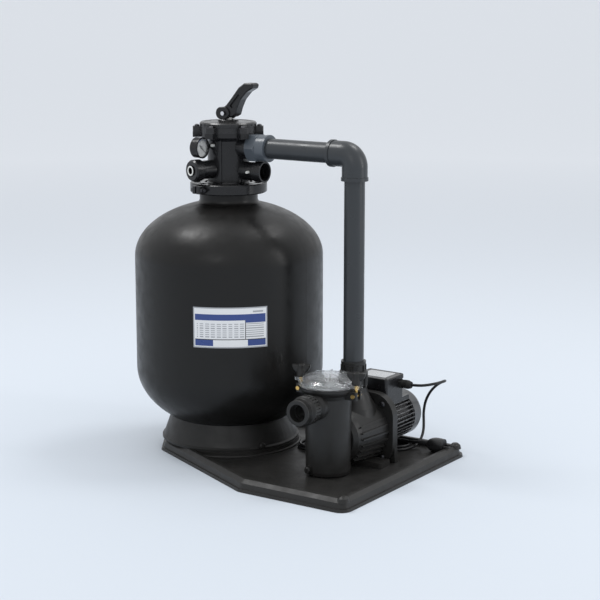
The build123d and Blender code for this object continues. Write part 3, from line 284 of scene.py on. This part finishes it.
BLACK = (0.0085, 0.0082, 0.0078)
MATERIALS = {
    "tank": surface("tank_moulded_black", BLACK, 0.36, grain=0.0022, depth=0.00010, mottle=0.15, dust=0.012,
                    specular=0.28),
    "skirt": surface("skirt_moulded_black", (0.0125, 0.0122, 0.0115), 0.46, grain=0.0016, depth=0.00014,
                     dust=0.02, specular=0.35),
    "base": surface("base_formed_black", (0.0175, 0.0170, 0.0160), 0.42, grain=0.0014, depth=0.00016,
                    mottle=0.25, edge_wear_and_highlight=0.3, worn_and_highlight_colour=(0.055, 0.056, 0.06), dust=0.02, specular=0.35),
    "valve": surface("valve_satin_black", (0.009, 0.009, 0.010), 0.24, grain=0.0009, depth=0.00005, edge_wear_and_highlight=0.3,
                     worn_and_highlight_colour=(0.06, 0.06, 0.065), specular=0.4),
    "valve_lid": surface("valve_lid_satin_black", (0.014, 0.014, 0.015), 0.28, grain=0.0009, depth=0.00005,
                         edge_wear_and_highlight=0.45, worn_and_highlight_colour=(0.10, 0.10, 0.11), dust=0.05, specular=0.45),
    "pump": surface("pump_glass_filled_black", (0.0125, 0.0122, 0.0115), 0.38, grain=0.0008, depth=0.00012,
                    mottle=0.2, edge_wear_and_highlight=0.4, worn_and_highlight_colour=(0.07, 0.07, 0.07), dust=0.02, specular=0.38),
    "pipe": surface("pipe_grey", (0.033, 0.037, 0.041), 0.34, grain=0.0010, depth=0.00004, mottle=0.1,
                    edge_wear_and_highlight=0.2, worn_and_highlight_colour=(0.14, 0.15, 0.16), dust=0.02, specular=0.42),
    "adaptor": surface("adaptor_blue_grey", (0.080, 0.094, 0.110), 0.33, grain=0.0010, depth=0.00005,
                       mottle=0.1, edge_wear_and_highlight=0.35, worn_and_highlight_colour=(0.26, 0.29, 0.32)),
    "white": surface("moulded_white", (0.74, 0.74, 0.71), 0.42, grain=0.0012, depth=0.00006, mottle=0.06),
    "basket": surface("basket_light_grey", (0.42, 0.43, 0.44), 0.40, grain=0.0010, depth=0.00006,
                      mottle=0.08),
    "rubber": surface("soft_rubber", (0.012, 0.012, 0.012), 0.62, grain=0.0006, depth=0.00006, specular=0.3),
    "steel": surface("brushed_stainless", (0.58, 0.58, 0.57), 0.3, grain=0.0005, depth=0.00003, mottle=0.1,
                     metallic=1.0, stretch=(1, 1, 9), rough_swing=0.1),
    "zinc": surface("black_zinc", (0.055, 0.055, 0.06), 0.34, grain=0.0005, depth=0.00003, mottle=0.2,
                    metallic=1.0, rough_swing=0.12, edge_wear_and_highlight=0.7, worn_and_highlight_colour=(0.22, 0.22, 0.22)),
    "chrome": surface("bright_pin", (0.74, 0.74, 0.75), 0.14, grain=0.0005, depth=0.00001, mottle=0.04,
                      metallic=1.0, rough_swing=0.05),
    "brass": surface("plain_brass", (0.66, 0.44, 0.15), 0.3, grain=0.0006, depth=0.00004, metallic=1.0,
                     rough_swing=0.12),
    "core": surface("laminated_core", (0.20, 0.20, 0.21), 0.5, grain=0.0005, depth=0.00010, metallic=0.9,
                    stretch=(0.3, 6, 0.3)),
    # The pale edge colour on the motor fins is a painted highlight.
    "motor": surface("motor_enamel_black", (0.010, 0.010, 0.011), 0.30, grain=0.0015, depth=0.00020,
                     mottle=0.2, edge_wear_and_highlight=1.0, worn_and_highlight_colour=(0.50, 0.50, 0.51), dust=0.02, specular=0.45),
    "box": surface("box_satin_black", (0.011, 0.011, 0.012), 0.30, grain=0.0010, depth=0.00010, edge_wear_and_highlight=0.4,
                   worn_and_highlight_colour=(0.09, 0.09, 0.09), dust=0.02, specular=0.42),
    # The lighter grey edge colour on the fan cover is a painted highlight.
    "cover": surface("cover_grey_metal", (0.060, 0.061, 0.064), 0.33, grain=0.0010, depth=0.00010, edge_wear_and_highlight=1.0,
                     worn_and_highlight_colour=(0.34, 0.34, 0.34), coat=0.2),
    "cord": surface("cord_sheath", (0.009, 0.009, 0.010), 0.42, grain=0.0007, depth=0.00006, mottle=0.2,
                    specular=0.4),
    "plug": surface("plug_moulded", (0.011, 0.011, 0.012), 0.4, grain=0.0008, depth=0.00006, edge_wear_and_highlight=0.4,
                    worn_and_highlight_colour=(0.06, 0.06, 0.06)),
    "clear": clear_plastic("clear_lid", (0.95, 0.97, 0.98), 0.42, 0.025),
    "lens": clear_plastic("clear_lens", (0.96, 0.97, 0.98), 0.25, 0.03),
    "sand": sand_grains("filter_sand"),
    "paper": surface("label_white", (0.78, 0.79, 0.80), 0.34, grain=0.0006, depth=0.00001, mottle=0.03),
    "ink_blue": surface("label_blue", (0.030, 0.062, 0.230), 0.34, grain=0.0006, depth=0.00001, mottle=0.05),
    "ink_grey": surface("label_grey", (0.36, 0.37, 0.39), 0.36, grain=0.0006, depth=0.00001, mottle=0.08),
    "dial": surface("dial_enamel", (0.82, 0.82, 0.80), 0.35, grain=0.0006, depth=0.00001, mottle=0.02),
    "ink_black": surface("dial_print", (0.02, 0.02, 0.02), 0.4, grain=0.0006, depth=0.00001),
    "foil": surface("foil_label", (0.62, 0.63, 0.64), 0.28, grain=0.0008, depth=0.00002, mottle=0.05,
                    metallic=0.7),
}

NODE_MATERIALS = {
    "tank": ("tank_shell",),
    "skirt": ("tank_skirt",),
    "base": ("base_plate",),
    "valve": ("valve_body", "clamp_half_front", "clamp_half_back", "waste_plug", "valve_handle", "gauge_case",
              "handle_washer"),
    "valve_lid": ("valve_lid",),
    "pump": ("pump_housing", "seal_plate", "union_tail", "union_nut", "left_knob", "right_knob",
             "suction_collar", "drain_plugs"),
    "pipe": ("horizontal_pipe", "vertical_pipe", "elbow"),
    "adaptor": ("pipe_adaptor",),
    "white": ("standpipe", "lateral_hub", "laterals", "top_diffuser", "diverter", "impeller",
              "vent_screws"),
    "basket": ("strainer_basket",),
    "rubber": ("o_rings", "spider_gasket", "lid_seal", "shaft_seal", "cable_gland"),
    "zinc": ("clamp_bolts", "lid_screws", "flange_screws"),
    "steel": ("valve_spring", "motor_shaft", "bearings"),
    "chrome": ("handle_pin",),
    "brass": ("t_bolts",),
    "core": ("motor_rotor", "motor_stator"),
    "motor": ("motor_frame",),
    "box": ("terminal_box", "terminal_box_lid", "fan"),
    "cover": ("fan_cover",),
    "plug": ("plug",),
    "clear": ("strainer_lid",),
    "lens": ("gauge_lens",),
    "sand": ("sand_bed",),
    "dial": ("gauge_dial",),
    "ink_black": ("gauge_needle",),
}


def dress_nodes():
    """Give every CAD node its material."""
    for key, names in NODE_MATERIALS.items():
        for name in names:
            slots = bpy.data.objects[name].data.materials
            slots.clear()
            slots.append(MATERIALS[key])


# ------------------------------------------------------------------- pieces

def mesh_piece(name, vertices, faces, keys, picks=None, smooth=False):
    """New mesh object with the named materials; picks gives each face's place in keys."""
    mesh = bpy.data.meshes.new(name)
    mesh.from_pydata(vertices, [], faces)
    for key in keys:
        mesh.materials.append(MATERIALS[key])
    for polygon in mesh.polygons:
        polygon.use_smooth = smooth
        polygon.material_index = picks[polygon.index] if picks else 0
    piece = bpy.data.objects.new(name, mesh)
    bpy.context.collection.objects.link(piece)
    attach(piece, ROOT)
    return piece


def label_ink(across, up):
    """The ink at a place on the tank label; across and up both run from 0 to 1."""
    if not (0.015 < across < 0.985 and 0.03 < up < 0.97):
        return GREY
    if not (0.025 < across < 0.975 and 0.05 < up < 0.95):
        return WHITE
    if 0.68 < up < 0.83 or (0.62 < up <= 0.68 and across > 0.70):
        return BLUE
    if up >= 0.83:
        return GREY if 0.80 < across < 0.94 and 0.87 < up < 0.91 else WHITE
    if up < 0.20:
        return BLUE if across < 0.27 or across > 0.73 else WHITE
    if up < 0.22 or 0.695 < across < 0.705:
        return DARK
    row = (up * 19) % 1
    column = (across * 13) % 1 if across < 0.70 else 0.5
    in_table = 0.05 < across < 0.95 and 0.26 < up < 0.60
    return GREY if in_table and row < 0.42 and 0.15 < column < 0.85 else WHITE


def tank_label():
    """Plain banded label wrapped on the tank's side."""
    columns, rows = LABEL_COLUMNS, LABEL_ROWS
    radius = TANK_R + LABEL_LIFT
    vertices = []
    for j in range(rows + 1):
        z = LABEL_LOW + (LABEL_HIGH - LABEL_LOW) * j / rows
        for i in range(columns + 1):
            turn = LABEL_TURN + (i / columns - 0.5) * LABEL_WIDTH / TANK_R
            vertices.append(TANK_AXIS + Vector((radius * math.cos(turn), radius * math.sin(turn), z)))
    faces = []
    picks = []
    for j in range(rows):
        for i in range(columns):
            a = j * (columns + 1) + i
            faces.append((a, a + 1, a + columns + 2, a + columns + 1))
            picks.append(label_ink((i + 0.5) / columns, (j + 0.5) / rows))
    inks = ("paper", "ink_blue", "ink_grey", "ink_black")
    piece = mesh_piece("tank_label", vertices, faces, inks, picks, smooth=True)


def lathe_ring(name, frame_matrix, outline, key, segments=64):
    """Closed ring turned from an outline of (radius, height) points about the local Z axis of a matrix."""
    vertices = []
    faces = []
    count = len(outline)
    for i in range(segments):
        turn = 2 * math.pi * i / segments
        for radius, height in outline:
            vertices.append(frame_matrix @ Vector((radius * math.cos(turn), radius * math.sin(turn), height)))
        for j in range(count):
            a, b = i * count + j, i * count + (j + 1) % count
            c, d = (b + count) % (segments * count), (a + count) % (segments * count)
            faces.append((a, b, c, d))
    piece = mesh_piece(name, vertices, faces, (key,))
    return piece


def facing(origin, direction):
    """Matrix whose local Z points along a direction."""
    return Matrix.Translation(origin) @ Vector(direction).to_track_quat("Z", "Y").to_matrix().to_4x4()


def waste_ring():
    """White ring let into the face of the waste plug."""
    direction = Vector((math.cos(WASTE_TURN), math.sin(WASTE_TURN), 0))
    place = TANK_AXIS + Vector((0, 0, WASTE_Z)) + direction * WASTE_RING_BACK
    lathe_ring("waste_ring", facing(place, direction), WASTE_RING_OUTLINE, "white")


def coil_spring():
    """Valve spring: a fixed wire coil between the ends of the CAD spring, which it replaces; in the valve it
    shortens as the lever lifts the diverter towards the lid.
    """
    low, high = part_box("valve_spring")
    foot = low[2] + SPRING_WIRE_R
    rise = high[2] - SPRING_WIRE_R - foot
    stations = SPRING_TURNS * SPRING_STEPS_A_TURN
    vertices = []
    for i in range(stations + 1):
        turn = 2 * math.pi * SPRING_TURNS * i / stations
        outward = Vector((math.cos(turn), math.sin(turn), 0))
        middle = TANK_AXIS + outward * SPRING_COIL_R + Vector((0, 0, foot + rise * i / stations))
        for j in range(SPRING_SIDES):
            side = 2 * math.pi * j / SPRING_SIDES
            reach = outward * math.cos(side) + Vector((0, 0, math.sin(side)))
            vertices.append(middle + reach * SPRING_WIRE_R)
    faces = []
    for i in range(stations):
        for j in range(SPRING_SIDES):
            a = i * SPRING_SIDES + j
            b = i * SPRING_SIDES + (j + 1) % SPRING_SIDES
            faces.append((a, b, b + SPRING_SIDES, a + SPRING_SIDES))
    faces.append(tuple(range(SPRING_SIDES)))
    faces.append(tuple(range(stations * SPRING_SIDES, (stations + 1) * SPRING_SIDES)))
    piece = mesh_piece("coil_spring", vertices, faces, ("steel",), smooth=True)
    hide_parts("valve_spring")
    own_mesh(piece)


def dial_print():
    """Scale ticks and an arc printed on the gauge's face."""
    low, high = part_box("gauge_dial")
    centre = Vector(((low[0] + high[0]) / 2, (low[1] + high[1]) / 2, (low[2] + high[2]) / 2))
    face_x = high[0] + DIAL_LIFT
    edge = (high[2] - low[2]) / 2
    vertices = []
    faces = []
    picks = []

    def patch(inner, outer, start, end, ink):
        first = len(vertices)
        for radius, turn in ((inner, start), (outer, start), (outer, end), (inner, end)):
            y = centre.y + radius * math.cos(turn)
            z = centre.z + radius * math.sin(turn)
            vertices.append(Vector((face_x, y, z)))
        faces.append(tuple(range(first, first + 4)))
        picks.append(ink)

    for i in range(DIAL_TICKS + 1):
        turn = math.radians(DIAL_START - DIAL_SWEEP * i / DIAL_TICKS)
        long_tick = i % 10 == 0
        half = math.radians(1.6 if long_tick else 0.7)
        patch(edge * (0.66 if long_tick else 0.76), edge * 0.86, turn - half, turn + half, 0)
    for i in range(DIAL_ARC_STEPS):
        start = math.radians(DIAL_START - DIAL_SWEEP * i / DIAL_ARC_STEPS)
        end = start - math.radians(DIAL_SWEEP / DIAL_ARC_STEPS)
        patch(edge * 0.87, edge * 0.91, start, end, 1 if i < DIAL_BLUE_STEPS else 0)
    piece = mesh_piece("dial_print", vertices, faces, ("ink_black", "ink_blue"), picks)


def box_plate():
    """Plain foil plate on the terminal box lid."""
    low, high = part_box("terminal_box_lid")
    middle = (Vector(low) + Vector(high)) / 2
    straight_x = PLATE_HALF_X - PLATE_CORNER
    straight_y = PLATE_HALF_Y - PLATE_CORNER
    outline = []
    for sign_x, sign_y, start in ((1, 1, 0), (-1, 1, 90), (-1, -1, 180), (1, -1, 270)):
        for step in range(7):
            turn = math.radians(start + 15 * step)
            outline.append((middle.x + sign_x * straight_x + PLATE_CORNER * math.cos(turn),
                            middle.y + sign_y * straight_y + PLATE_CORNER * math.sin(turn)))
    top = [Vector((x, y, high[2] + PLATE_LIFT)) for x, y in outline]
    foot = [Vector((x, y, high[2] - PLATE_SINK)) for x, y in outline]
    count = len(outline)
    faces = [tuple(range(count))]
    faces += [(i, i + count, (i + 1) % count + count, (i + 1) % count) for i in range(count)]
    piece = mesh_piece("box_plate", top + foot, faces, ("foil",))


# --------------------------------------------------------------------- cord

def hank_point(fraction, end_r):
    """Point on a turn of the hank, in millimetres from the tank's axis."""
    across = HANK_RIGHT - HANK_LEFT
    middle = (HANK_RIGHT + HANK_LEFT) / 2
    along = across.normalized()
    beside = Vector((-along.y, along.x))
    half = across.length / 2
    straight = 2 * half
    bend = math.pi * end_r
    way = (fraction % 1) * 2 * (straight + bend)
    if way < bend:
        angle = math.pi / 2 - way / end_r
        place = (half + end_r * math.cos(angle), end_r * math.sin(angle))
    elif way < bend + straight:
        place = (half - (way - bend), -end_r)
    elif way < 2 * bend + straight:
        angle = -math.pi / 2 - (way - bend - straight) / end_r
        place = (-half + end_r * math.cos(angle), end_r * math.sin(angle))
    else:
        place = (-half + (way - 2 * bend - straight), end_r)
    reach = max(-1.0, min(1.0, (place[0] - HANK_BOW_CENTRE) / HANK_BOW_REACH))
    bow = HANK_BOW * math.cos(reach * math.pi / 2) ** 2
    return middle + along * place[0] + beside * (place[1] + bow)


def smooth_step(value, low, high):
    """0 below low, 1 above high, and an even S between."""
    share = max(0.0, min(1.0, (value - low) / (high - low)))
    return share * share * (3 - 2 * share)


def hank_route():
    """Loose turns: the second lies inside the first, and the third rides on both."""
    points = []
    count = int((HANK_END - HANK_START) * HANK_POINTS_A_TURN)
    for i in range(count + 1):
        turn = HANK_START + (HANK_END - HANK_START) * i / count
        inward = HANK_STEP_IN * smooth_step(turn, 0.7, 1.12) - HANK_STEP_BACK * smooth_step(turn, 1.75, 2.15)
        sway = HANK_SWAY * math.sin(2 * math.pi * HANK_SWAYS_A_TURN * turn)
        height = HANK_Z + HANK_CLIMB * smooth_step(turn, 1.72, 2.05)
        place = hank_point(turn, HANK_END_R - inward + sway)
        points.append((place.x, place.y, height))
    return points


def power_cord():
    """The whole free cord, from the gland to the plug, as one smooth curve."""
    route = list(CORD_RUN) + hank_route() + list(CORD_TAIL)
    data = bpy.data.curves.new("power_cord", "CURVE")
    data.dimensions = "3D"
    data.bevel_depth = CORD_D / 2
    data.bevel_resolution = 6
    data.resolution_u = 8
    data.use_fill_caps = True
    spline = data.splines.new("NURBS")
    spline.points.add(len(route) - 1)
    for point, place in zip(spline.points, route):
        point.co = (*from_tank(*place), 1)
    spline.use_endpoint_u = True
    spline.order_u = 3
    data.materials.append(MATERIALS["cord"])
    piece = bpy.data.objects.new("power_cord", data)
    bpy.context.collection.objects.link(piece)
    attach(piece, ROOT)
    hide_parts("cord_run", "cord_coil", "cord_tail")


# -------------------------------------------------------------------- stage

def floor():
    """Pale level floor, wide enough to reach the horizon in every view, with painted shade that darkens it
    near the object.
    """
    mesh = bpy.data.meshes.new("floor")
    size = FLOOR_HALF
    corners = [(-size, -size, 0), (size, -size, 0), (size, size, 0), (-size, size, 0)]
    mesh.from_pydata(corners, [], [(0, 1, 2, 3)])
    material = bpy.data.materials.new("floor_pale_painted_shade")
    material.use_nodes = True
    shader = material.node_tree.nodes["Principled BSDF"]
    shader.inputs["Roughness"].default_value = 0.8
    tree = material.node_tree
    coordinates = tree.nodes.new("ShaderNodeTexCoord")
    away = tree.nodes.new("ShaderNodeVectorMath")
    away.operation = "LENGTH"
    link(tree, coordinates, "Object", away, 0)
    # Painted shade: the floor colour is darker near the object, offsetting the soft boxes' light there, and
    # paler far away.
    share = remap(tree, away, "Value", FLOOR_PAINTED_SHADE_NEAR, FLOOR_PAINTED_SHADE_FAR, 0.0, 1.0)
    tone = mix_colour(tree, share, "Result", (0.60, 0.65, 0.71), (0.88, 0.91, 0.95))
    tree.links.new(tone.outputs[2], shader.inputs["Base Color"])
    mesh.materials.append(material)
    piece = bpy.data.objects.new("floor", mesh)
    bpy.context.collection.objects.link(piece)


def soft_box(name, place, size, power):
    """Rectangular area light that faces the middle of the object."""
    data = bpy.data.lights.new(name, "AREA")
    data.shape = "RECTANGLE"
    data.size, data.size_y = size
    data.energy = power
    lamp = bpy.data.objects.new(name, data)
    lamp.location = place
    lamp.rotation_euler = (Vector(place) - Vector(AIM)).to_track_quat("Z", "Y").to_euler()
    bpy.context.collection.objects.link(lamp)


def studio_light():
    """Pale even surroundings, with two soft boxes overhead, one beside and one in front."""
    bpy.context.scene.view_settings.view_transform = "Standard"
    world = bpy.data.worlds.new("studio")
    world.use_nodes = True
    background = world.node_tree.nodes["Background"]
    background.inputs["Color"].default_value = WORLD_COLOUR
    background.inputs["Strength"].default_value = WORLD_STRENGTH
    bpy.context.scene.world = world
    for name, (place, size, power) in SOFT_BOXES.items():
        soft_box(name, place, size, power)


def camera():
    """Long lens from the front right, a little above the tank."""
    data = bpy.data.cameras.new("camera")
    data.lens = CAMERA_LENS
    data.sensor_width = 36
    data.clip_end = 400
    seer = bpy.data.objects.new("camera", data)
    seer.location = CAMERA_PLACE
    flat = math.cos(CAMERA_PITCH)
    forward = Vector((flat * math.cos(CAMERA_TURN), flat * math.sin(CAMERA_TURN), math.sin(CAMERA_PITCH)))
    seer.rotation_euler = forward.to_track_quat("-Z", "Y").to_euler()
    bpy.context.collection.objects.link(seer)
    bpy.context.scene.camera = seer


camera()
power_cord()
dress_nodes()
tank_label()
waste_ring()
coil_spring()
dial_print()
box_plate()
floor()
studio_light()
